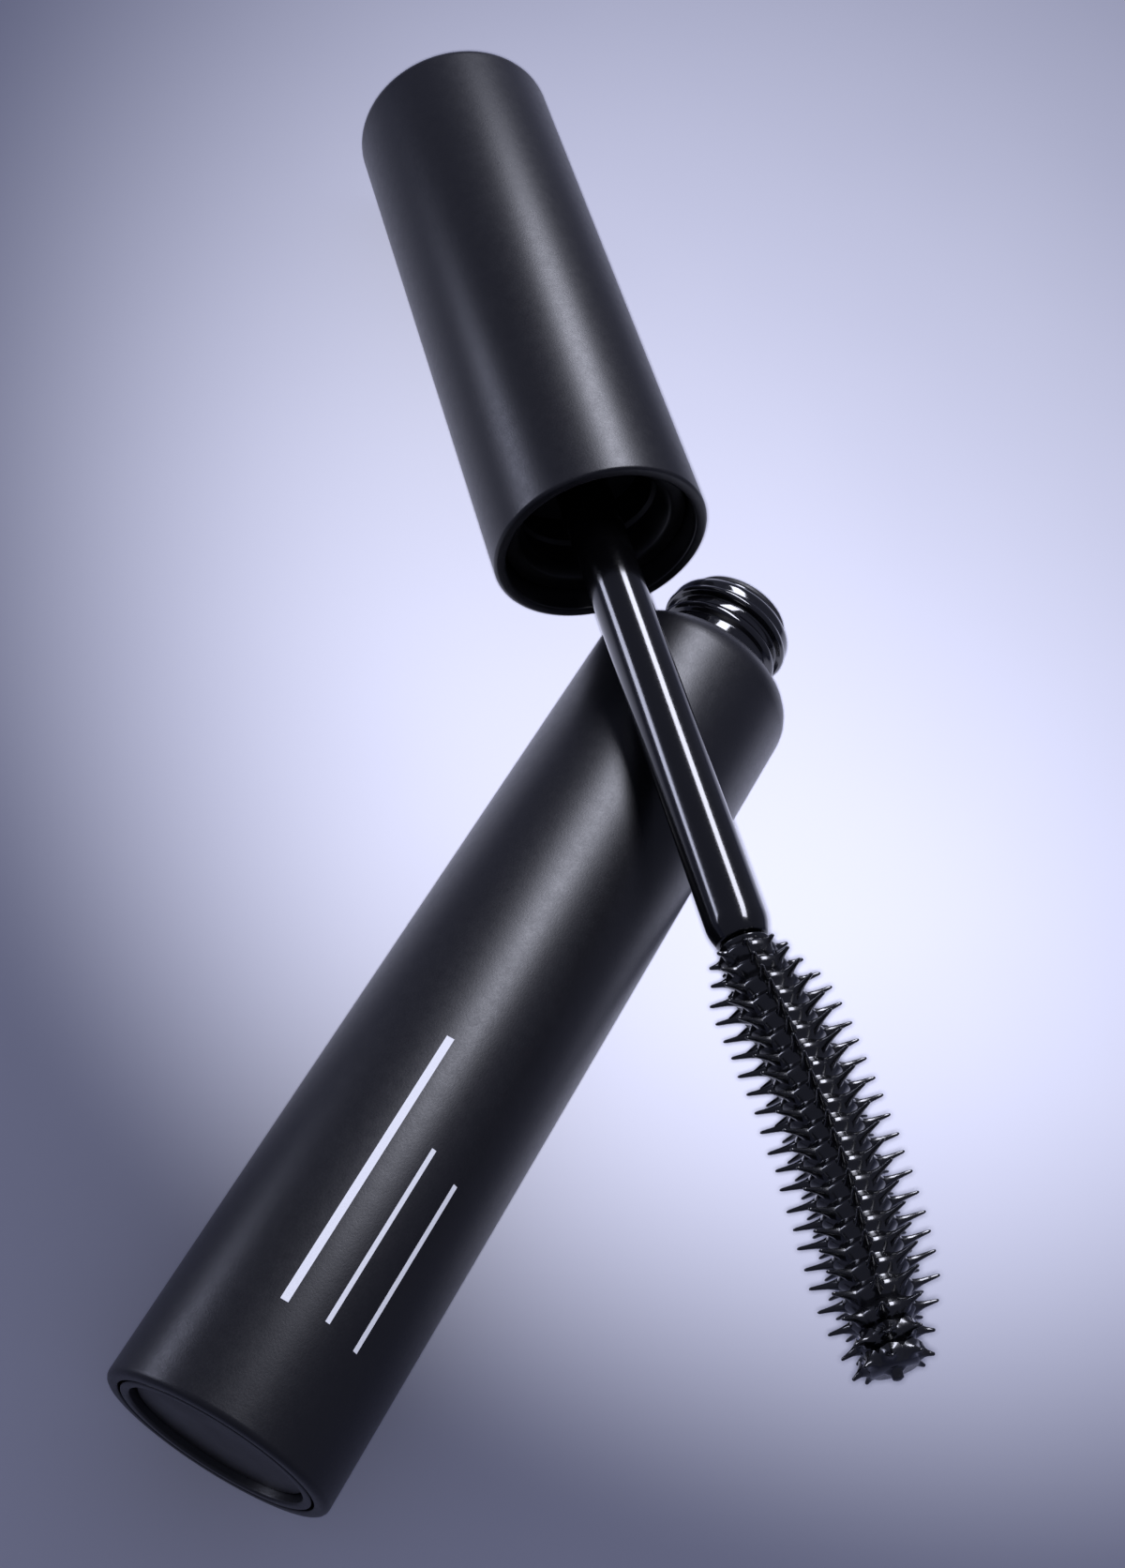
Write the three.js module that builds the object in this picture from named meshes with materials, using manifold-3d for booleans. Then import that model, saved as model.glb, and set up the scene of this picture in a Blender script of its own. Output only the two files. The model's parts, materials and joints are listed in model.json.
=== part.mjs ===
// A mascara, open: the tube lies on its side and the applicator (cap, stem and brush) rests
// across it, with its stem on the tube and its cap's top edge on the table.
// Millimetres, +Z up. The origin is the centre of the whole object's footprint.
import * as THREE from "three";
import { mergeVertices } from "three/addons/utils/BufferGeometryUtils.js";
import Module from "manifold-3d";

const wasm = await Module();
wasm.setup();

// Driving dimensions. The tube's own heights start at its foot and run up its axis.
const GAP = 0.3; // between two pieces that touch on the real object
const TUBE_R = 8.7;
const BODY_TOP = 71.8; // end of the tube's straight side
const SHOULDER_ROUND = 2.4;
const SHOULDER_TOP = 74.8; // where the neck comes out of the shoulder
const NECK_TOP = 81.1;
const NECK_R = 4.9;
const THREAD_R = 5.6; // crest of the neck's rings
const NECK_BORE_R = 3.9;
const SLEEVE_WALL = 1.0;
const VIAL_R = 7.3;
const VIAL_WALL = 0.8;
const VIAL_FLOOR = 2.0; // underside of the vial's floor
const FOOT_RECESS_R = 6.8;
const FOOT_RECESS = 0.95; // depth of the foot's dish down to the plug's floor
const LABEL_THICKNESS = 0.25;

// The applicator's own heights start at the cap's mouth: the cap is above, the brush below.
const CAP_R = 9.0;
const CAP_LENGTH = 53.1;
const CAP_WALL = 1.0;
const CAP_ROUND = 1.3;
const INSERT_START = 2.0; // how far the screw insert sits inside the cap's mouth
const INSERT_TOP = 22.0;
const WEB = 8.6; // underside of the insert's web, which the washer lies against
const STEM_R = 2.3;
const SNAP = 15.5; // middle of the groove that the insert's snap bead holds the stem by
const SNAP_WIDTH = 1.3;
const SNAP_DEPTH = 0.45;
const STEM_END = -38.0;
const STUB_R = 1.2; // the brush's stub in the stem's end
const STUB_LENGTH = 5.6;
const BRUSH_START = -39.3; // first row of spikes
const BRUSH_END = -69.3; // last row of spikes
const BRUSH_TIP = -70.6;
const BRUSH_BEND = 1.3; // how far the middle of the brush bows off the stem's axis
const CORE_R = 2.0;
const SPIKE_R = 4.2; // radius over the spikes of a middle row
const SPIKE_ROWS = 22;
const SPIKES_PER_ROW = 8;

// How the two halves lie.
const CROSSING = 60.0; // distance from the foot, along the tube, to where the stem crosses
const STEM_OVERHANG = 18.7; // length of stem from the cap's mouth to that crossing
const REST_GAP = 0.7; // under the stem where it crosses the tube
const YAW = THREE.MathUtils.degToRad(42); // from the tube's axis to the applicator's, seen from above
const SIDES = 40; // facets round a turned piece

const vec = (x, y) => new THREE.Vector2(x, y);

// Points on an arc of a profile, angles in degrees from the +r direction towards +z.
function arc(r, z, radius, from, to, steps = 5) {
  return Array.from({ length: steps + 1 }, (_, i) => {
    const angle = THREE.MathUtils.degToRad(from + ((to - from) * i) / steps);
    return vec(r + radius * Math.cos(angle), z + radius * Math.sin(angle));
  });
}

// A solid of revolution about Z. The profile runs anticlockwise seen with r to the right and
// z up, and closes on itself, or starts and ends on the axis.
function turned(profile, sides = SIDES) {
  const onAxis = profile[0].x === 0 && profile.at(-1).x === 0;
  const points = onAxis ? profile : [...profile, profile[0].clone()];
  return new THREE.LatheGeometry(points, sides).rotateX(Math.PI / 2);
}

function toSolid(geometry) {
  const bare = geometry.clone();
  bare.deleteAttribute("normal");
  bare.deleteAttribute("uv");
  const merged = mergeVertices(bare, 1e-4);
  return new wasm.Manifold(
    new wasm.Mesh({
      numProp: 3,
      vertProperties: merged.attributes.position.array,
      triVerts: new Uint32Array(merged.index.array),
    }),
  );
}

function toGeometry(solid) {
  const mesh = solid.getMesh();
  const geometry = new THREE.BufferGeometry();
  geometry.setAttribute("position", new THREE.BufferAttribute(mesh.vertProperties, 3));
  geometry.setIndex(new THREE.BufferAttribute(mesh.triVerts, 1));
  geometry.computeVertexNormals();
  return geometry;
}

function piece(name, geometry, color, roughness, metalness = 0) {
  const material = new THREE.MeshStandardMaterial({ color, roughness, metalness });
  const mesh = new THREE.Mesh(geometry, material);
  mesh.name = name;
  return mesh;
}

// ---- Tube ----

// Satin outer shell: open at the foot, drawn in over a round shoulder to a collar at the neck.
function outerSleeve() {
  const inner = TUBE_R - SLEEVE_WALL;
  const roundR = TUBE_R - SHOULDER_ROUND;
  const collar = NECK_R + GAP;
  return turned([
    ...arc(TUBE_R - 0.6, 0.6, 0.6, -90, 0, 3),
    ...arc(roundR, BODY_TOP, SHOULDER_ROUND, 0, 68, 6),
    vec(collar, SHOULDER_TOP),
    vec(collar, SHOULDER_TOP - SLEEVE_WALL),
    vec(inner, BODY_TOP),
    vec(inner, 0),
  ]);
}

// Reservoir and threaded neck, moulded in one. Its floor stops short of the foot plug.
function innerVial() {
  const inner = VIAL_R - VIAL_WALL;
  const shoulder = BODY_TOP - GAP;
  const lipR = THREAD_R - 0.1;
  return turned([
    vec(0, VIAL_FLOOR),
    ...arc(VIAL_R - 0.8, VIAL_FLOOR + 0.8, 0.8, -90, 0, 3),
    vec(VIAL_R, shoulder - 0.6),
    vec(NECK_R, shoulder + 1.4),
    vec(NECK_R, SHOULDER_TOP + 1.9),
    vec(THREAD_R - 0.2, SHOULDER_TOP + 2.3),
    vec(THREAD_R - 0.2, SHOULDER_TOP + 2.7),
    vec(NECK_R, SHOULDER_TOP + 3.1),
    vec(NECK_R, SHOULDER_TOP + 3.8),
    ...arc(lipR - 0.8, SHOULDER_TOP + 4.9, 0.8, -70, 90, 6),
    vec(NECK_R - 0.2, NECK_TOP - 0.5),
    vec(NECK_R - 0.2, NECK_TOP),
    vec(NECK_BORE_R, NECK_TOP),
    vec(NECK_BORE_R, shoulder - 0.4),
    vec(inner, shoulder - 2.2),
    vec(inner, VIAL_FLOOR + VIAL_WALL),
    vec(0, VIAL_FLOOR + VIAL_WALL),
  ]);
}

// Soft wiper: a rim on the neck's top, a plug in its bore, and a funnel down to the orifice.
function wiper() {
  const plugR = NECK_BORE_R - GAP;
  const orificeR = STEM_R + GAP;
  const rimLow = NECK_TOP + 0.1;
  const rimHigh = rimLow + 0.5;
  return turned([
    vec(NECK_R - 0.4, rimLow),
    vec(NECK_R - 0.4, rimHigh),
    vec(plugR - 0.5, rimHigh),
    vec(plugR - 0.5, NECK_TOP - 4.5),
    vec(orificeR, NECK_TOP - 9.2),
    vec(orificeR, NECK_TOP - 10.6),
    vec(orificeR + 0.5, NECK_TOP - 10.6),
    vec(plugR, NECK_TOP - 5.2),
    vec(plugR, rimLow),
  ]);
}

// Plug that closes the foot, with a shallow dish for the label.
function basePlug() {
  const r = TUBE_R - SLEEVE_WALL - 0.2;
  return turned([
    vec(0, FOOT_RECESS),
    vec(FOOT_RECESS_R, FOOT_RECESS),
    vec(FOOT_RECESS_R, 0),
    vec(r, 0),
    vec(r, FOOT_RECESS + 0.75),
    vec(0, FOOT_RECESS + 0.75),
  ]);
}

function shadeLabel() {
  const top = FOOT_RECESS - 0.1;
  const r = FOOT_RECESS_R - GAP;
  return turned([vec(0, top - LABEL_THICKNESS), vec(r, top - LABEL_THICKNESS), vec(r, top), vec(0, top)]);
}

// ---- Applicator ----

function overcap() {
  const inner = CAP_R - CAP_WALL;
  return turned([
    vec(0, CAP_LENGTH - 1.2),
    vec(inner, CAP_LENGTH - 1.2),
    vec(inner, 0),
    vec(CAP_R - 0.25, 0),
    vec(CAP_R, 0.25),
    ...arc(CAP_R - CAP_ROUND, CAP_LENGTH - CAP_ROUND, CAP_ROUND, 0, 90, 4),
    vec(0, CAP_LENGTH),
  ]);
}

// Screw insert pressed into the cap: a threaded cup with a web, and a socket that snaps on the stem.
function innerCap() {
  const outer = CAP_R - CAP_WALL - GAP;
  const threadR = THREAD_R + GAP;
  const wall = threadR + 0.9;
  const bore = STEM_R + GAP;
  const socket = bore + 1.2;
  const bead = SNAP_WIDTH / 2 - GAP;
  return turned([
    vec(threadR + 0.2, INSERT_START),
    vec(outer, INSERT_START),
    vec(outer, INSERT_START + 1.0),
    vec(wall, INSERT_START + 1.4),
    vec(wall, WEB + 1.6),
    vec(socket, WEB + 2.8),
    vec(socket, INSERT_TOP - 1.8),
    vec(outer, INSERT_TOP - 1.0),
    vec(outer, INSERT_TOP),
    vec(bore, INSERT_TOP),
    vec(bore, SNAP + bead),
    vec(bore - SNAP_DEPTH, SNAP + bead * 0.4),
    vec(bore - SNAP_DEPTH, SNAP - bead * 0.4),
    vec(bore, SNAP - bead),
    vec(bore, WEB),
    vec(threadR, WEB),
  ]);
}

function sealingWasher() {
  const high = WEB - 0.1;
  const low = high - 0.5;
  return turned([
    vec(STEM_R + 0.2, low),
    vec(THREAD_R, low),
    vec(THREAD_R, high),
    vec(STEM_R + 0.2, high),
  ]);
}

// Stem: a rod with a snap groove near its top and a short taper at its lower end, bored for the
// brush's stub.
function stem() {
  const boreR = STUB_R + GAP;
  const boreTop = STEM_END + STUB_LENGTH + GAP;
  return turned([
    vec(0, boreTop),
    vec(boreR, boreTop),
    vec(boreR, STEM_END),
    vec(STEM_R - 0.35, STEM_END),
    vec(STEM_R, STEM_END + 1.2),
    vec(STEM_R, SNAP - SNAP_WIDTH / 2),
    vec(STEM_R - SNAP_DEPTH, SNAP - SNAP_WIDTH * 0.3),
    vec(STEM_R - SNAP_DEPTH, SNAP + SNAP_WIDTH * 0.3),
    vec(STEM_R, SNAP + SNAP_WIDTH / 2),
    vec(STEM_R, INSERT_TOP - 0.5),
    vec(0, INSERT_TOP - 0.5),
  ]);
}

// Height along the brush from 0 at its first row to 1 at its last, to a point on its bowed axis.
function brushAxis(t) {
  const z = THREE.MathUtils.lerp(BRUSH_START, BRUSH_END, t);
  return new THREE.Vector3(0, -4 * BRUSH_BEND * t * (1 - t), z);
}

// Radius over the spikes: short by the stem, then even, and shorter again over the last rows.
function brushRadius(t) {
  const startTaper = 1 - THREE.MathUtils.smoothstep(t, -0.02, 0.14);
  const endTaper = THREE.MathUtils.smoothstep(t, 0.8, 1.05);
  return SPIKE_R * (1 - 0.35 * startTaper) * (1 - 0.4 * endTaper);
}

// Bowed core as a round bar swept along the brush's axis, with a cone at its end.
function brushCore() {
  const sides = 12;
  const stubTop = STEM_END + STUB_LENGTH;
  const rings = [
    [new THREE.Vector3(0, 0, stubTop), STUB_R],
    [new THREE.Vector3(0, 0, STEM_END - GAP), STUB_R],
    [new THREE.Vector3(0, 0, STEM_END - GAP), CORE_R],
  ];
  for (let i = 0; i <= 12; i++) rings.push([brushAxis(i / 12), i < 12 ? CORE_R : CORE_R * 0.8]);
  const positions = [];
  const index = [];
  rings.forEach(([centre, radius]) => {
    for (let k = 0; k < sides; k++) {
      const angle = (k / sides) * 2 * Math.PI;
      positions.push(centre.x + radius * Math.cos(angle), centre.y + radius * Math.sin(angle), centre.z);
    }
  });
  const first = rings.length * sides;
  positions.push(0, 0, stubTop, 0, 0, BRUSH_TIP);
  for (let k = 0; k < sides; k++) {
    const next = (k + 1) % sides;
    index.push(first, k, next);
    for (let r = 0; r + 1 < rings.length; r++) {
      const a = r * sides;
      const b = a + sides;
      index.push(a + k, b + k, b + next, a + k, b + next, a + next);
    }
    const last = (rings.length - 1) * sides;
    index.push(first + 1, last + next, last + k);
  }
  const geometry = new THREE.BufferGeometry();
  geometry.setAttribute("position", new THREE.Float32BufferAttribute(positions, 3));
  geometry.setIndex(index);
  return geometry;
}

// Brush moulded in one: the core, its stub in the stem, and rows of spikes, every other row turned
// by half a step.
function brush() {
  let solid = toSolid(brushCore());
  for (let row = 0; row < SPIKE_ROWS; row++) {
    const t = row / (SPIKE_ROWS - 1);
    const centre = brushAxis(t);
    const radius = brushRadius(t);
    for (let k = 0; k < SPIKES_PER_ROW; k++) {
      const angle = ((k + (row % 2) / 2) / SPIKES_PER_ROW) * 2 * Math.PI;
      const root = CORE_R - 0.5;
      const spike = new THREE.ConeGeometry(0.62, radius - root, 4)
        .translate(0, root + (radius - root) / 2, 0)
        .rotateZ(angle)
        .translate(centre.x, centre.y, centre.z);
      solid = solid.add(toSolid(spike));
    }
  }
  return toGeometry(solid);
}

// ---- Assembly ----

const tube = new THREE.Group();
tube.add(
  piece("outer_sleeve", outerSleeve(), "#131317", 0.42),
  piece("inner_vial", innerVial(), "#0b0b0d", 0.12),
  piece("wiper", wiper(), "#26262a", 0.5),
  piece("base_plug", basePlug(), "#141315", 0.4),
  piece("shade_label", shadeLabel(), "#1a1614", 0.3),
);
tube.rotation.y = Math.PI / 2; // foot at x = 0, neck towards +X
tube.position.z = TUBE_R;

const applicator = new THREE.Group();
applicator.add(
  piece("overcap", overcap(), "#131317", 0.42),
  piece("inner_cap", innerCap(), "#09090a", 0.3),
  piece("sealing_washer", sealingWasher(), "#2b2b2e", 0.6),
  piece("stem", stem(), "#070708", 0.08),
  piece("brush", brush(), "#050506", 0.25),
);

// The stem lies on the tube and the cap's top edge on the table, which settles the lean.
const stemHeight = 2 * TUBE_R + REST_GAP + STEM_R;
const reach = STEM_OVERHANG + CAP_LENGTH - CAP_ROUND; // from the crossing to the round of the cap's edge
let lean = 0;
for (let i = 0; i < 20; i++) {
  const drop = stemHeight - CAP_ROUND - (CAP_R - CAP_ROUND) * Math.cos(lean);
  lean = Math.asin(drop / reach);
}
applicator.rotation.set(0, Math.PI / 2 + lean, YAW, "ZYX");
applicator.updateMatrix();
const upAxis = new THREE.Vector3(0, 0, 1).transformDirection(applicator.matrix);
applicator.position.set(CROSSING, 0, stemHeight).addScaledVector(upAxis, STEM_OVERHANG);

const group = new THREE.Group();
group.add(tube, applicator);
group.updateMatrixWorld(true);
const box = new THREE.Box3().setFromObject(group, true);
const centre = box.getCenter(new THREE.Vector3());
group.position.set(-centre.x, -centre.y, -box.min.z);

export default group;
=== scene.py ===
import bpy
import bmesh
import json
import math
import random
from mathutils import Matrix, Vector


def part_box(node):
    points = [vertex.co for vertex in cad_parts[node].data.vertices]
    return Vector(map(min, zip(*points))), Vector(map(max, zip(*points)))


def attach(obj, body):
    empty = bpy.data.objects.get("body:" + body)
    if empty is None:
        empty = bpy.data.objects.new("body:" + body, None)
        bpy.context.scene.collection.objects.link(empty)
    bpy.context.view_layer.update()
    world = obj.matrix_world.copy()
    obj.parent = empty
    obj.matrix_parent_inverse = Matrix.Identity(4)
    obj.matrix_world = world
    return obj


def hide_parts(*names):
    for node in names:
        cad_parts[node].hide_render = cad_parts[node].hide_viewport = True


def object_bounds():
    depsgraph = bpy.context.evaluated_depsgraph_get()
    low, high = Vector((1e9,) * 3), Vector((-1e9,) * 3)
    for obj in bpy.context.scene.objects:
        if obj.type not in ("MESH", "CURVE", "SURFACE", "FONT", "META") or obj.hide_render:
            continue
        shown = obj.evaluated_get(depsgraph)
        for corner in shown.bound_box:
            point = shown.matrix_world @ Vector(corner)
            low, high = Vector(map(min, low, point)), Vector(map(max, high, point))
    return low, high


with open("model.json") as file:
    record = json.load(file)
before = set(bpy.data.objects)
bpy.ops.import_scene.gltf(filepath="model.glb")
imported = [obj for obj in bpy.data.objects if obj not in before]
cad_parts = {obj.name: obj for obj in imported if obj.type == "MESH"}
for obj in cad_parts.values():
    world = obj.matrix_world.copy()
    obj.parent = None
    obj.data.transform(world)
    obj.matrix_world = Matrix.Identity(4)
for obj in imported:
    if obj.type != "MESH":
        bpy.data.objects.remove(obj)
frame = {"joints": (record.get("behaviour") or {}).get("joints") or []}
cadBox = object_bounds()
print("frame loaded")

mm = 0.001  # every shape below is drawn in millimetres and made metres when it is put in place


def hexToLinear(code):
    channels = [int(code[i:i + 2], 16) / 255 for i in (1, 3, 5)]
    linear = [c / 12.92 if c <= 0.04045 else ((c + 0.055) / 1.055) ** 2.4 for c in channels]
    return (*linear, 1.0)


def addNode(tree, kind, settings=None, values=None, links=None):
    node = tree.nodes.new(kind)
    for name, setting in (settings or {}).items():
        setattr(node, name, setting)
    for socket, value in (values or {}).items():
        node.inputs[socket].default_value = value
    for socket, source in (links or {}).items():
        tree.links.new(source, node.inputs[socket])
    return node


def startMaterial(name, constants):
    material = bpy.data.materials.new(name)
    material.use_nodes = True
    tree = material.node_tree
    shader = tree.nodes["Principled BSDF"]
    for socket, value in constants.items():
        shader.inputs[socket].default_value = value
    place = addNode(tree, "ShaderNodeTexCoord").outputs["Object"]
    return material, tree, shader, place


def noiseOf(tree, place, millimetres, detail, **more):
    # noise whose pattern repeats about every so many millimetres
    return addNode(tree, "ShaderNodeTexNoise", None, {"Scale": 1000 / millimetres, "Detail": detail, **more},
                   {"Vector": place})


def toneOf(tree, look, source):
    return addNode(tree, "ShaderNodeMix", {"data_type": "RGBA"},
                   {"A": hexToLinear(look["dark"]), "B": hexToLinear(look["light"])}, {"Factor": source})


def spreadOf(tree, source, sourceRange, target):
    # the source's usual range stretched over the two target values
    return addNode(tree, "ShaderNodeMapRange", None,
                   {"From Min": sourceRange[0], "From Max": sourceRange[1],
                    "To Min": target[0], "To Max": target[1]}, {"Value": source})


def bumpOf(tree, source, strength, distance):
    return addNode(tree, "ShaderNodeBump", None, {"Strength": strength, "Distance": distance},
                   {"Height": source})


def applyFinish(tree, shader, tone, rough, bump=None):
    tree.links.new(tone.outputs["Result"], shader.inputs["Base Color"])
    tree.links.new(rough.outputs["Result"], shader.inputs["Roughness"])
    if bump:
        tree.links.new(bump.outputs["Normal"], shader.inputs["Normal"])


def turnProfile(points, steps=128):
    # points are (radius, height) or (radius, height, rounding); a profile off the axis closes on itself
    wire = bmesh.new()
    corners = [wire.verts.new((p[0], 0, p[1])) for p in points]
    for a, b in zip(corners, corners[1:]):
        wire.edges.new((a, b))
    if points[0][0] > 0 or points[-1][0] > 0:
        wire.edges.new((corners[-1], corners[0]))
    for corner, p in zip(corners, points):
        if len(p) > 2:
            bmesh.ops.bevel(wire, geom=[corner], offset=p[2], offset_type="OFFSET", affect="VERTICES",
                            segments=6 if p[2] > 0.5 else 4, profile=0.5, material=-1)
    bmesh.ops.spin(wire, geom=wire.verts[:] + wire.edges[:], cent=(0, 0, 0), axis=(0, 0, 1), dvec=(0, 0, 0),
                   angle=2 * math.pi, steps=steps, use_merge=True, use_duplicate=False)
    bmesh.ops.remove_doubles(wire, verts=wire.verts, dist=1e-4)
    bmesh.ops.recalc_face_normals(wire, faces=wire.faces)
    return wire


def addThread(shape, section, start, pitch, turns, root, stepsPerTurn=48):
    # a ridge of this (radius, height) section wound about Z, fading into its root at both ends
    steps = int(stepsPerTurn * turns)
    ridge = bmesh.new()
    corners = [ridge.verts.new((r, 0, start + z)) for r, z in section]
    face = ridge.faces.new(corners)
    bmesh.ops.spin(ridge, geom=[face], cent=(0, 0, 0), axis=(0, 0, 1), dvec=(0, 0, pitch / stepsPerTurn),
                   angle=2 * math.pi * turns, steps=steps, use_merge=False, use_duplicate=False)
    fade = stepsPerTurn // 6
    for index, vert in enumerate(ridge.verts):
        step = index // len(section)
        keep = min(1.0, step / fade, (steps - step) / fade)
        radius = math.hypot(vert.co.x, vert.co.y)
        scale = (root + (radius - root) * keep) / radius
        vert.co.x *= scale
        vert.co.y *= scale
    bmesh.ops.recalc_face_normals(ridge, faces=ridge.faces)
    mergeInto(shape, ridge)


def mergeInto(shape, part):
    scratch = bpy.data.meshes.new("scratch")
    part.to_mesh(scratch)
    part.free()
    shape.from_mesh(scratch)
    bpy.data.meshes.remove(scratch)


def placePiece(name, shape, place, material, body, node, sharp=40):
    mesh = bpy.data.meshes.new(name)
    shape.to_mesh(mesh)
    shape.free()
    mesh.transform(place)
    mesh.polygons.foreach_set("use_smooth", [True] * len(mesh.polygons))
    mesh.set_sharp_from_angle(angle=math.radians(sharp))
    mesh.materials.append(material)
    piece = bpy.data.objects.new(name, mesh)
    bpy.context.scene.collection.objects.link(piece)
    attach(piece, body)
    if node:
        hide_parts(node)
    objectPieces.append(piece)
    return piece


objectPieces = []


view = {
    "aim": (-2.1, -4.5, 10.0),  # mm from the middle of the footprint
    "distance": 165.4,  # mm
    "heading": 2.55,  # degrees from +X towards +Y
    "lookDown": 59.2,
    "roll": 30.1,
    "lens": 47.4,
}

heading, lookDown, roll = (math.radians(view[k]) for k in ("heading", "lookDown", "roll"))
sight = Vector((math.cos(lookDown) * math.cos(heading), math.cos(lookDown) * math.sin(heading),
                -math.sin(lookDown)))
level = sight.cross(Vector((0, 0, 1))).normalized()
above = level.cross(sight)
rightHand = level * math.cos(roll) + above * math.sin(roll)
overhead = rightHand.cross(sight)
middle = Vector(((cadBox[0][0] + cadBox[1][0]) / 2, (cadBox[0][1] + cadBox[1][1]) / 2, cadBox[0][2]))
aim = middle + Vector(view["aim"]) * mm
eye = aim - sight * view["distance"] * mm
cameraTurn = Matrix((rightHand, overhead, -sight)).transposed()

cameraData = bpy.data.cameras.new("camera")
cameraData.lens = view["lens"]
cameraData.sensor_width = 36
cameraData.clip_start = 0.005
camera = bpy.data.objects.new("camera", cameraData)
camera.matrix_world = Matrix.Translation(eye) @ cameraTurn.to_4x4()
bpy.context.scene.collection.objects.link(camera)
bpy.context.scene.camera = camera
print("camera set")


sleeveLow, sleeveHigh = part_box("outer_sleeve")
foot = Vector((sleeveLow.x, (sleeveLow.y + sleeveHigh.y) / 2, (sleeveLow.z + sleeveHigh.z) / 2))
tubePlace = Matrix.Translation(foot) @ Matrix.Rotation(math.pi / 2, 4, "Y") @ Matrix.Scale(mm, 4)

twist = next(j for j in frame["joints"] if j["name"] == "cap_twist")
capUp = Vector(twist["axis"]).normalized()
capSide = Vector((0, 0, 1)).cross(capUp).normalized()
capTurn = Matrix((capSide.cross(capUp), capSide, capUp)).transposed().to_4x4()
capPlace = Matrix.Translation(Vector(twist["pos_m"])) @ capTurn @ Matrix.Scale(mm, 4)


def satinAbs():
    # Injection-moulded ABS under a thin soft-touch lacquer: black, a wide soft sheen with fine grain in it
    look = {"dark": "#0c0c0f", "light": "#131318", "rough": (0.33, 0.43),
            "grain": 0.16, "mottle": 0.9, "cloud": 14}
    material, tree, shader, place = startMaterial("satinSoftTouchAbs", {
        "IOR": 1.5, "Specular IOR Level": 0.5})
    grain = noiseOf(tree, place, look["grain"], 2, Roughness=0.6)
    mottle = noiseOf(tree, place, look["mottle"], 3, Roughness=0.6)
    cloud = noiseOf(tree, place, look["cloud"], 2)
    tone = toneOf(tree, look, cloud.outputs["Fac"])
    uneven = addNode(tree, "ShaderNodeMix", {"data_type": "FLOAT"}, {"Factor": 0.45},
                     {"A": grain.outputs["Fac"], "B": mottle.outputs["Fac"]})
    rough = spreadOf(tree, uneven.outputs["Result"], (0.3, 0.7), look["rough"])
    bump = bumpOf(tree, uneven.outputs["Result"], 0.35, 0.00003)
    applyFinish(tree, shader, tone, rough, bump)
    return material


def polishedPetg():
    # Polished black PETG, moulded with its neck: sharp reflections with a faint ripple of the mould
    look = {"dark": "#070709", "light": "#0d0d11", "rough": (0.07, 0.15), "ripple": 3.5, "dust": 0.25}
    material, tree, shader, place = startMaterial("polishedBlackPetg", {
        "IOR": 1.57, "Specular IOR Level": 0.6, "Coat Weight": 0.3, "Coat Roughness": 0.03})
    ripple = noiseOf(tree, place, look["ripple"], 1)
    dust = noiseOf(tree, place, look["dust"], 2)
    tone = toneOf(tree, look, ripple.outputs["Fac"])
    rough = spreadOf(tree, dust.outputs["Fac"], (0.35, 0.75), look["rough"])
    bump = bumpOf(tree, ripple.outputs["Fac"], 0.2, 0.00008)
    applyFinish(tree, shader, tone, rough, bump)
    return material


def polishedPom():
    # High-polish black acetal rod: one bright line along it, hardly any grain
    look = {"dark": "#050506", "light": "#09090b", "rough": (0.12, 0.17), "flow": 2.2, "speck": 0.2}
    material, tree, shader, place = startMaterial("polishedBlackAcetal", {
        "IOR": 1.5, "Specular IOR Level": 0.6, "Coat Weight": 0.3, "Coat Roughness": 0.12})
    flow = noiseOf(tree, place, look["flow"], 2)
    speck = noiseOf(tree, place, look["speck"], 1)
    tone = toneOf(tree, look, flow.outputs["Fac"])
    rough = spreadOf(tree, speck.outputs["Fac"], (0.35, 0.7), look["rough"])
    bump = bumpOf(tree, flow.outputs["Fac"], 0.12, 0.00004)
    applyFinish(tree, shader, tone, rough, bump)
    return material


def mouldedPp():
    # Polypropylene insert straight from the mould: dark, dull, with faint flow clouds
    look = {"dark": "#060607", "light": "#0c0c0e", "rough": (0.34, 0.5), "flow": 2.0, "texture": 0.2}
    material, tree, shader, place = startMaterial("mouldedBlackPolypropylene", {
        "IOR": 1.49, "Specular IOR Level": 0.35})
    flow = noiseOf(tree, place, look["flow"], 3)
    texture = noiseOf(tree, place, look["texture"], 2)
    tone = toneOf(tree, look, flow.outputs["Fac"])
    rough = spreadOf(tree, flow.outputs["Fac"], (0.3, 0.7), look["rough"])
    bump = bumpOf(tree, texture.outputs["Fac"], 0.25, 0.00002)
    applyFinish(tree, shader, tone, rough, bump)
    return material


def softLdpe():
    # Soft low-density polyethylene of the wiper and washer: waxy charcoal, half matt, a little see-through
    look = {"dark": "#17171a", "light": "#232327", "rough": (0.42, 0.56), "cloud": 1.6, "wax": 0.3}
    material, tree, shader, place = startMaterial("softCharcoalLdpe", {
        "IOR": 1.51, "Specular IOR Level": 0.45, "Subsurface Weight": 0.05, "Subsurface Scale": 0.0004})
    cloud = noiseOf(tree, place, look["cloud"], 3)
    wax = noiseOf(tree, place, look["wax"], 2)
    tone = toneOf(tree, look, cloud.outputs["Fac"])
    rough = spreadOf(tree, wax.outputs["Fac"], (0.3, 0.7), look["rough"])
    bump = bumpOf(tree, wax.outputs["Fac"], 0.2, 0.00003)
    applyFinish(tree, shader, tone, rough, bump)
    return material


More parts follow.
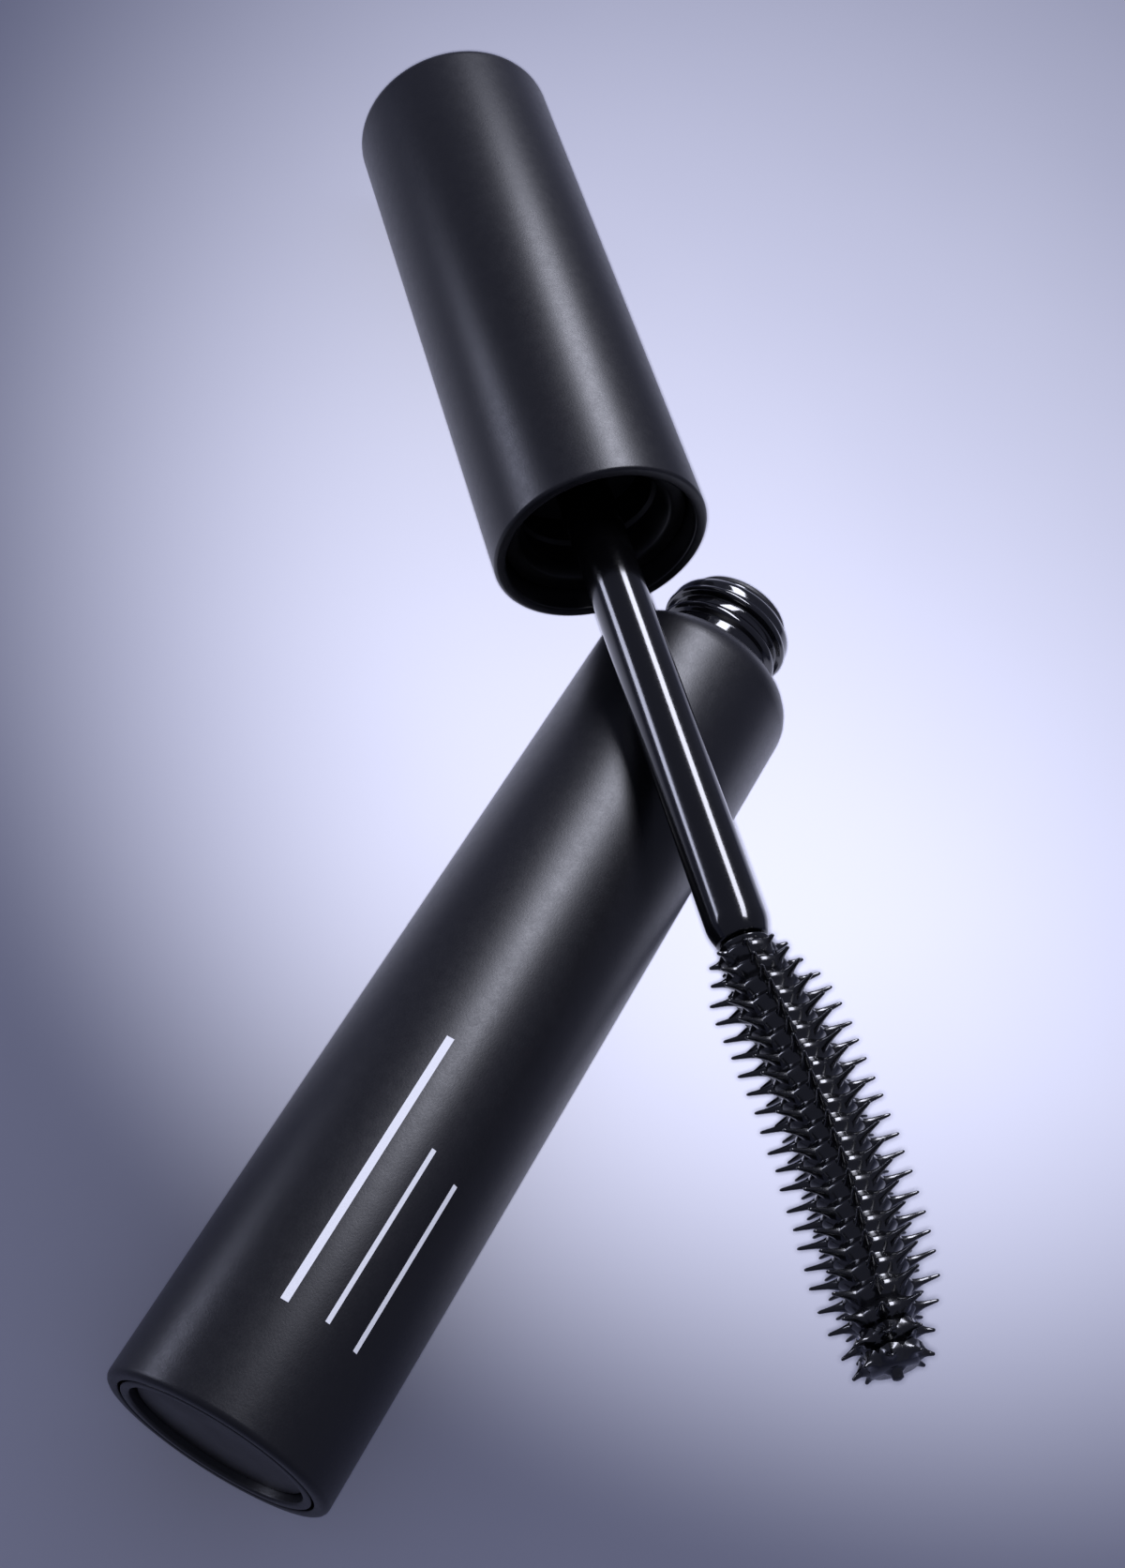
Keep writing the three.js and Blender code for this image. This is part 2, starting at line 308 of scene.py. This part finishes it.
def labelFilm():
    # Die-cut polyester film in the foot's dish: brownish black, smooth, with its varnish's faint orange peel
    look = {"dark": "#15120f", "light": "#1d1916", "rough": (0.32, 0.42), "cloud": 4.0, "peel": 0.7}
    material, tree, shader, place = startMaterial("brownBlackFilm", {"IOR": 1.57, "Specular IOR Level": 0.45})
    cloud = noiseOf(tree, place, look["cloud"], 2)
    peel = addNode(tree, "ShaderNodeTexVoronoi", {"feature": "SMOOTH_F1"}, {"Scale": 1000 / look["peel"]},
                   {"Vector": place})
    tone = toneOf(tree, look, cloud.outputs["Fac"])
    rough = spreadOf(tree, cloud.outputs["Fac"], (0.3, 0.7), look["rough"])
    bump = bumpOf(tree, peel.outputs["Distance"], 0.12, 0.00003)
    applyFinish(tree, shader, tone, rough, bump)
    return material


def wetElastomer():
    # Glossy black thermoplastic elastomer, moulded in one: wet-looking, with small glints on every curve
    look = {"dark": "#040405", "light": "#08080a", "rough": (0.14, 0.3), "skin": 0.35, "film": 1.4}
    material, tree, shader, place = startMaterial("glossyBlackElastomer", {
        "IOR": 1.5, "Specular IOR Level": 0.6, "Coat Weight": 0.6, "Coat Roughness": 0.08})
    skin = noiseOf(tree, place, look["skin"], 2)
    wetness = noiseOf(tree, place, look["film"], 2)
    tone = toneOf(tree, look, wetness.outputs["Fac"])
    rough = spreadOf(tree, wetness.outputs["Fac"], (0.3, 0.7), look["rough"])
    bump = bumpOf(tree, skin.outputs["Fac"], 0.3, 0.00003)
    applyFinish(tree, shader, tone, rough, bump)
    return material


def padPrintInk():
    # White two-part pad-printing ink: a thin matt film, slightly uneven where the pad lifted
    look = {"dark": "#d5d6da", "light": "#eeeff2", "rough": (0.45, 0.6), "speckle": 0.12}
    material, tree, shader, place = startMaterial("whitePadPrintInk", {"IOR": 1.5, "Specular IOR Level": 0.4})
    speckle = noiseOf(tree, place, look["speckle"], 2)
    tone = toneOf(tree, look, speckle.outputs["Fac"])
    rough = spreadOf(tree, speckle.outputs["Fac"], (0.3, 0.7), look["rough"])
    applyFinish(tree, shader, tone, rough)
    return material


def backdropPaper():
    # Pale lavender seamless paper: dead matt, a breath of unevenness in its tone
    look = {"dark": "#c9cce0", "light": "#d3d6e8", "cloud": 60}
    material, tree, shader, place = startMaterial("lavenderPaper", {
        "Specular IOR Level": 0.0, "Roughness": 0.9})
    cloud = noiseOf(tree, place, look["cloud"], 3)
    tone = toneOf(tree, look, cloud.outputs["Fac"])
    tree.links.new(tone.outputs["Result"], shader.inputs["Base Color"])
    return material


satin = satinAbs()
glossNeck = polishedPetg()
glossRod = polishedPom()
insertPlastic = mouldedPp()
softPlastic = softLdpe()
film = labelFilm()
elastomer = wetElastomer()
ink = padPrintInk()
print("materials made")


tube = {
    "radius": 8.7,
    "wall": 1.0,
    "shoulderTop": 74.8,
    "shoulderRound": 2.5,
    "shoulderDrop": 0.75,  # how much lower the shoulder is at its outer edge
    "collar": 5.2,  # hole that the neck comes through
    "footRound": 0.5,
}


def outerSleeve():
    inner = tube["radius"] - tube["wall"]
    top = tube["shoulderTop"]
    return turnProfile([
        (inner, 0, 0.12),
        (tube["radius"], 0, tube["footRound"]),
        (tube["radius"], top - tube["shoulderDrop"], tube["shoulderRound"]),
        (tube["collar"], top, 0.15),
        (tube["collar"], top - tube["wall"]),
        (inner, top - 3),
    ], 160)


neck = {
    "vialRadius": 7.3,
    "wall": 0.8,
    "floor": 2.0,
    "radius": 4.9,
    "crest": 5.6,
    "bore": 3.9,
    "top": 6.3,  # this and the rest are heights above the shoulder
    "thread": (1.9, 3.1),
    "lip": (3.9, 5.8),
}


def innerVial():
    inner = neck["vialRadius"] - neck["wall"]
    base = tube["shoulderTop"]
    threadLow, threadHigh = (base + h for h in neck["thread"])
    lipLow, lipHigh = (base + h for h in neck["lip"])
    return turnProfile([
        (0, neck["floor"]),
        (neck["vialRadius"], neck["floor"], 0.8),
        (neck["vialRadius"], base - 3.9, 0.4),
        (neck["radius"], base - 1.9, 0.3),
        (neck["radius"], threadLow, 0.12),
        (neck["crest"] - 0.2, threadLow + 0.35, 0.2),
        (neck["crest"] - 0.2, threadHigh - 0.35, 0.2),
        (neck["radius"], threadHigh, 0.12),
        (neck["radius"], lipLow, 0.15),
        (neck["crest"], lipLow + 0.1, 0.25),
        (neck["crest"], lipLow + 0.55, 0.2),
        (neck["crest"] - 0.15, lipLow + 0.7, 0.1),
        (neck["crest"] - 0.1, lipHigh, 0.75),
        (neck["radius"] - 0.2, lipHigh + 0.1, 0.1),
        (neck["radius"] - 0.2, base + neck["top"], 0.15),
        (neck["bore"], base + neck["top"], 0.1),
        (neck["bore"], base - 3.7),
        (inner, base - 5.5),
        (inner, neck["floor"] + neck["wall"], 0.8),
        (0, neck["floor"] + neck["wall"]),
    ], 128)


seat = {"rim": 4.5, "plug": 3.6, "bore": 3.1, "orifice": 2.6, "rimLow": 6.4, "rimHigh": 6.9}


def wiper():
    base = tube["shoulderTop"]
    return turnProfile([
        (seat["rim"], base + seat["rimLow"], 0.1),
        (seat["rim"], base + seat["rimHigh"], 0.2),
        (seat["bore"], base + seat["rimHigh"], 0.25),
        (seat["bore"], base + 1.8, 0.4),
        (seat["orifice"], base - 2.9, 0.2),
        (seat["orifice"], base - 4.3),
        (seat["orifice"] + 0.5, base - 4.3),
        (seat["plug"], base + 1.1, 0.4),
        (seat["plug"], base + seat["rimLow"], 0.1),
    ], 96)


plug = {"radius": 7.5, "dish": 6.8, "dishDepth": 0.95, "thickness": 0.75}


def basePlug():
    return turnProfile([
        (0, plug["dishDepth"]),
        (plug["dish"], plug["dishDepth"], 0.15),
        (plug["dish"], 0, 0.2),
        (plug["radius"], 0, 0.12),
        (plug["radius"], plug["dishDepth"] + plug["thickness"]),
        (0, plug["dishDepth"] + plug["thickness"]),
    ], 128)


def shadeLabel():
    radius = plug["dish"] - 0.3
    return turnProfile([(0, 0.6), (radius, 0.6, 0.08), (radius, 0.85), (0, 0.85)], 128)


marks = {
    "lift": 0.03,  # thickness of the ink
    "bars": [(8.4, 30.2, 171.5, 0.6), (8.7, 22.6, 192.4, 0.35), (8.3, 21.6, 210.6, 0.35)],
}


def printMarks():
    # three plain bars along the tube: (start height, end height, angle round the tube, width)
    shape = bmesh.new()
    low, high = tube["radius"] - 0.02, tube["radius"] + marks["lift"]
    for start, end, angle, width in marks["bars"]:
        bar = bmesh.new()
        section = ((low, start), (high, start), (high, end), (low, end))
        corners = [bar.verts.new((r, 0, z)) for r, z in section]
        face = bar.faces.new(corners)
        sweep = width / tube["radius"]
        bmesh.ops.spin(bar, geom=[face], cent=(0, 0, 0), axis=(0, 0, 1), dvec=(0, 0, 0), angle=sweep, steps=4,
                       use_merge=False, use_duplicate=False)
        bmesh.ops.rotate(bar, verts=bar.verts, cent=(0, 0, 0),
                         matrix=Matrix.Rotation(math.radians(angle) - sweep / 2, 3, "Z"))
        bmesh.ops.recalc_face_normals(bar, faces=bar.faces)
        mergeInto(shape, bar)
    return shape


placePiece("outerSleeve", outerSleeve(), tubePlace, satin, "tube", "outer_sleeve", 30)
placePiece("innerVial", innerVial(), tubePlace, glossNeck, "tube", "inner_vial")
placePiece("neckWiper", wiper(), tubePlace, softPlastic, "tube", "wiper")
placePiece("basePlug", basePlug(), tubePlace, satin, "tube", "base_plug")
placePiece("shadeLabel", shadeLabel(), tubePlace, film, "tube", "shade_label")
placePiece("printedBars", printMarks(), tubePlace, ink, "tube", None)
print("tube made")


cap = {"radius": 9.0, "length": 53.1, "wall": 1.0, "topRound": 1.2}


def overcap():
    inner = cap["radius"] - cap["wall"]
    return turnProfile([
        (0, cap["length"] - 1.2),
        (inner, cap["length"] - 1.2, 0.5),
        (inner, 0, 0.2),
        (cap["radius"], 0, 0.3),
        (cap["radius"], cap["length"], cap["topRound"]),
        (0, cap["length"]),
    ], 160)


insert = {"outer": 7.7, "bore": 5.95, "start": 2.0, "web": 8.6, "top": 22.0, "stemHole": 2.6,
          "wall": 6.8, "socket": 3.8, "socketEnd": 20.2, "snap": 15.5, "snapDepth": 0.45}


def innerCap():
    shape = turnProfile([
        (insert["bore"] + 0.5, insert["start"], 0.3),
        (insert["outer"], insert["start"], 0.15),
        (insert["outer"], 3.0),
        (insert["wall"], 3.4),
        (insert["wall"], 10.2, 0.4),
        (insert["socket"], 11.4),
        (insert["socket"], insert["socketEnd"]),
        (insert["outer"], 21.0),
        (insert["outer"], insert["top"]),
        (insert["stemHole"], insert["top"], 0.2),
        (insert["stemHole"], insert["snap"] + 0.35),
        (insert["stemHole"] - insert["snapDepth"], insert["snap"] + 0.14),
        (insert["stemHole"] - insert["snapDepth"], insert["snap"] - 0.14),
        (insert["stemHole"], insert["snap"] - 0.35),
        (insert["stemHole"], insert["web"]),
        (insert["bore"], insert["web"]),
        (insert["bore"], 3.0),
    ], 96)
    section = [(insert["bore"] + 0.05, -0.5), (insert["bore"] + 0.05, 0.5), (insert["bore"] - 0.28, 0.12),
               (insert["bore"] - 0.28, -0.12)]
    addThread(shape, section, 3.4, 2.4, 1.6, insert["bore"] + 0.05)
    return shape


washer = {"hole": 2.5, "radius": 5.6, "low": 8.0, "high": 8.5}


def sealingWasher():
    return turnProfile([
        (washer["hole"], washer["low"], 0.1),
        (washer["radius"], washer["low"], 0.15),
        (washer["radius"], washer["high"], 0.1),
        (washer["hole"], washer["high"], 0.1),
    ], 96)


rod = {"radius": 2.3, "end": -38.0, "top": 21.5, "snap": 15.5, "boreTop": -32.1, "bore": 1.5}


def applicatorStem():
    return turnProfile([
        (0, rod["boreTop"]),
        (rod["bore"], rod["boreTop"]),
        (rod["bore"], rod["end"]),
        (rod["radius"] - 0.4, rod["end"], 0.25),
        (rod["radius"], rod["end"] + 1.2, 0.5),
        (rod["radius"], rod["snap"] - 0.65),
        (rod["radius"] - 0.45, rod["snap"] - 0.4),
        (rod["radius"] - 0.45, rod["snap"] + 0.4),
        (rod["radius"], rod["snap"] + 0.65),
        (rod["radius"], rod["top"], 0.3),
        (0, rod["top"]),
    ], 96)


brushShape = {
    "rows": 22,
    "perRow": 8,
    "turn": 22.4,  # degrees of the first column from the side
    "first": -39.3,  # height of the first row
    "last": -69.3,
    "tip": -70.6,
    "bow": 1.3,
    "core": 2.0,
    "ridge": 2.55,
    "stub": 1.2,
    "radius": 4.4,  # over the spikes of a middle row
    "rootWidth": 0.85,
    "tipWidth": 0.15,
    "lean": 5,  # degrees that a spike leans towards the stem
    "endLean": 30,  # degrees by which the last rows lean the other way
    "seed": 11,
}


def easeBetween(value, low, high):
    share = min(1.0, max(0.0, (value - low) / (high - low)))
    return share * share * (3 - 2 * share)


def brushRadius(along):
    # short by the stem, then even, and shorter again over the last rows
    startTaper = 1 - easeBetween(along, -0.02, 0.14)
    return brushShape["radius"] * (1 - 0.35 * startTaper) * (1 - 0.4 * easeBetween(along, 0.8, 1.05))


def spikeTemplate():
    # one flared spike of length 1 along +X, turned from its own profile
    width, tip = brushShape["rootWidth"], brushShape["tipWidth"]
    profile = [(width, 0.0), (width * 0.74, 0.14), (width * 0.5, 0.3), (width * 0.34, 0.48),
               (width * 0.25, 0.7), (tip, 0.93), (tip * 0.62, 0.985), (0, 1.0)]
    spike = bmesh.new()
    points = [spike.verts.new((r, 0, z)) for r, z in profile]
    for a, b in zip(points, points[1:]):
        spike.edges.new((a, b))
    bmesh.ops.spin(spike, geom=spike.verts[:] + spike.edges[:], cent=(0, 0, 0), axis=(0, 0, 1),
                   dvec=(0, 0, 0), angle=2 * math.pi, steps=8, use_merge=True, use_duplicate=False)
    bmesh.ops.remove_doubles(spike, verts=spike.verts, dist=1e-4)
    bmesh.ops.holes_fill(spike, edges=[e for e in spike.edges if e.is_boundary], sides=0)
    bmesh.ops.recalc_face_normals(spike, faces=spike.faces)
    bmesh.ops.rotate(spike, verts=spike.verts, cent=(0, 0, 0), matrix=Matrix.Rotation(math.pi / 2, 3, "Y"))
    mesh = bpy.data.meshes.new("spikeTemplate")
    spike.to_mesh(mesh)
    spike.free()
    return mesh


def brushCore():
    # stub, then a core with a low ridge at every row, a hollowed cone and a small blunt nipple
    rows, first, last = brushShape["rows"], brushShape["first"], brushShape["last"]
    pitch = (last - first) / (rows - 1)
    stubTop = rod["boreTop"] - 0.3
    profile = [(0, stubTop), (brushShape["stub"], stubTop, 0.2), (brushShape["stub"], rod["end"] - 0.3),
               (brushShape["core"], rod["end"] - 0.3, 0.2)]
    for row in range(rows):
        height = first + pitch * row
        size = (1 - 0.12 * (1 - easeBetween(row, 0, 2))) * (1 - 0.25 * easeBetween(row, rows - 5, rows))
        core, ridge = brushShape["core"] * size, brushShape["ridge"] * size
        profile += [(core, height - pitch * 0.45), (ridge - 0.12, height - pitch * 0.2), (ridge, height),
                    (ridge - 0.12, height + pitch * 0.2), (core, height + pitch * 0.45)]
    profile += [(0.8, last - 0.6), (0.42, last - 0.85), (0.38, brushShape["tip"] + 0.1, 0.06),
                (0.15, brushShape["tip"]), (0, brushShape["tip"])]
    return turnProfile(profile, 48)


def mouldedBrush():
    chance = random.Random(brushShape["seed"])
    rows, first, last = brushShape["rows"], brushShape["first"], brushShape["last"]
    root = brushShape["core"] - 0.15
    template = spikeTemplate()
    spikes = bmesh.new()
    for row in range(rows):
        along = row / (rows - 1)
        height = first + (last - first) * along
        for k in range(brushShape["perRow"]):
            column = math.radians(brushShape["turn"]) + k / brushShape["perRow"] * 2 * math.pi
            angle = column + chance.uniform(-0.03, 0.03)
            length = brushRadius(along) - root + chance.uniform(-0.07, 0.07)
            endLean = brushShape["endLean"] * easeBetween(along, 0.86, 1.0)
            lean = math.radians(brushShape["lean"] - endLean + chance.uniform(-2.5, 2.5))
            place = (Matrix.Translation((0, 0, height)) @ Matrix.Rotation(angle, 4, "Z")
                     @ Matrix.Translation((root, 0, 0)) @ Matrix.Rotation(-lean, 4, "Y")
                     @ Matrix.Diagonal((length, 1, 0.8, 1)))
            known = len(spikes.verts)
            spikes.from_mesh(template)
            bmesh.ops.transform(spikes, matrix=place, verts=spikes.verts[known:])
    bpy.data.meshes.remove(template)
    shape = brushCore()
    mergeInto(shape, spikes)
    for vert in shape.verts:
        along = min(1.0, max(0.0, (vert.co.z - first) / (last - first)))
        vert.co.y -= 4 * brushShape["bow"] * along * (1 - along)
    return shape


placePiece("outerCap", overcap(), capPlace, satin, "applicator", "overcap", 30)
placePiece("innerCap", innerCap(), capPlace, insertPlastic, "applicator", "inner_cap")
placePiece("sealingWasher", sealingWasher(), capPlace, softPlastic, "seal", "sealing_washer")
placePiece("applicatorStem", applicatorStem(), capPlace, glossRod, "applicator", "stem")
placePiece("mouldedBrush", mouldedBrush(), capPlace, elastomer, "applicator", "brush", 70)
print("applicator made")


studio = {
    "floorSize": 1.6,
    "world": "#8f93b0",
    "worldStrength": 0.48,
    "pool": {"power": 2.15, "angle": 62, "soft": 1.0, "shift": (0.034, 0.027), "colour": "#fbfaff"},
    "fill": {"power": 0.07, "angle": 120, "soft": 0.5, "shift": (0.0, 0.0), "colour": "#fdfbff"},
    "key": {"toward": (0.33, 0.84, 0.43), "along": (-0.15, 0.35, -0.52), "distance": 0.45,
            "size": (0.12, 0.44), "power": 2.7, "colour": "#eceeff"},
    "rim": {"toward": (-0.95, 0.10, 0.12), "along": (0.0, 1.0, 0.0), "distance": 0.40,
            "size": (0.10, 0.45), "power": 1.3, "colour": "#dfe3ff"},
}

floorShape = bmesh.new()
bmesh.ops.create_grid(floorShape, x_segments=8, y_segments=8, size=studio["floorSize"])
floorMesh = bpy.data.meshes.new("paperFloor")
floorShape.to_mesh(floorMesh)
floorShape.free()
floorMesh.materials.append(backdropPaper())
floor = bpy.data.objects.new("paperFloor", floorMesh)
bpy.context.scene.collection.objects.link(floor)

lit = bpy.data.collections.new("objectOnly")
for piece in objectPieces:
    lit.objects.link(piece)


def softbox(name, setting):
    # an area lamp placed by its direction from the camera's own axes, lighting only the object
    data = bpy.data.lights.new(name, "AREA")
    data.shape = "RECTANGLE"
    data.size, data.size_y = setting["size"]
    data.energy = setting["power"]
    data.color = hexToLinear(setting["colour"])[:3]
    lamp = bpy.data.objects.new(name, data)
    away = (cameraTurn @ Vector(setting["toward"])).normalized()
    across = (cameraTurn @ Vector(setting["along"])).cross(away).normalized()
    face = Matrix((across, away.cross(across), away)).transposed().to_4x4()
    lamp.matrix_world = Matrix.Translation(aim + away * setting["distance"]) @ face
    bpy.context.scene.collection.objects.link(lamp)
    lamp.light_linking.receiver_collection = lit
    return lamp


softbox("keySoftbox", studio["key"])
softbox("rimStrip", studio["rim"])

floorOnly = bpy.data.collections.new("floorOnly")
floorOnly.objects.link(floor)


def floorSpot(name, setting):
    # at the eye, so that the object hides its own shadow; it lights only the paper
    data = bpy.data.lights.new(name, "SPOT")
    data.energy = setting["power"]
    data.spot_size = math.radians(setting["angle"])
    data.spot_blend = setting["soft"]
    data.shadow_soft_size = 0.002
    data.color = hexToLinear(setting["colour"])[:3]
    lamp = bpy.data.objects.new(name, data)
    target = aim + rightHand * setting["shift"][0] + overhead * setting["shift"][1]
    lamp.matrix_world = Matrix.Translation(eye) @ (eye - target).to_track_quat("Z", "Y").to_matrix().to_4x4()
    lamp.visible_glossy = False
    bpy.context.scene.collection.objects.link(lamp)
    lamp.light_linking.receiver_collection = floorOnly


floorSpot("poolSpot", studio["pool"])
floorSpot("floorFill", studio["fill"])

world = bpy.data.worlds.new("studioWorld")
world.use_nodes = True
world.node_tree.nodes["Background"].inputs["Color"].default_value = hexToLinear(studio["world"])
world.node_tree.nodes["Background"].inputs["Strength"].default_value = studio["worldStrength"]
bpy.context.scene.world = world
bpy.context.scene.view_settings.view_transform = "Standard"
print("studio set")
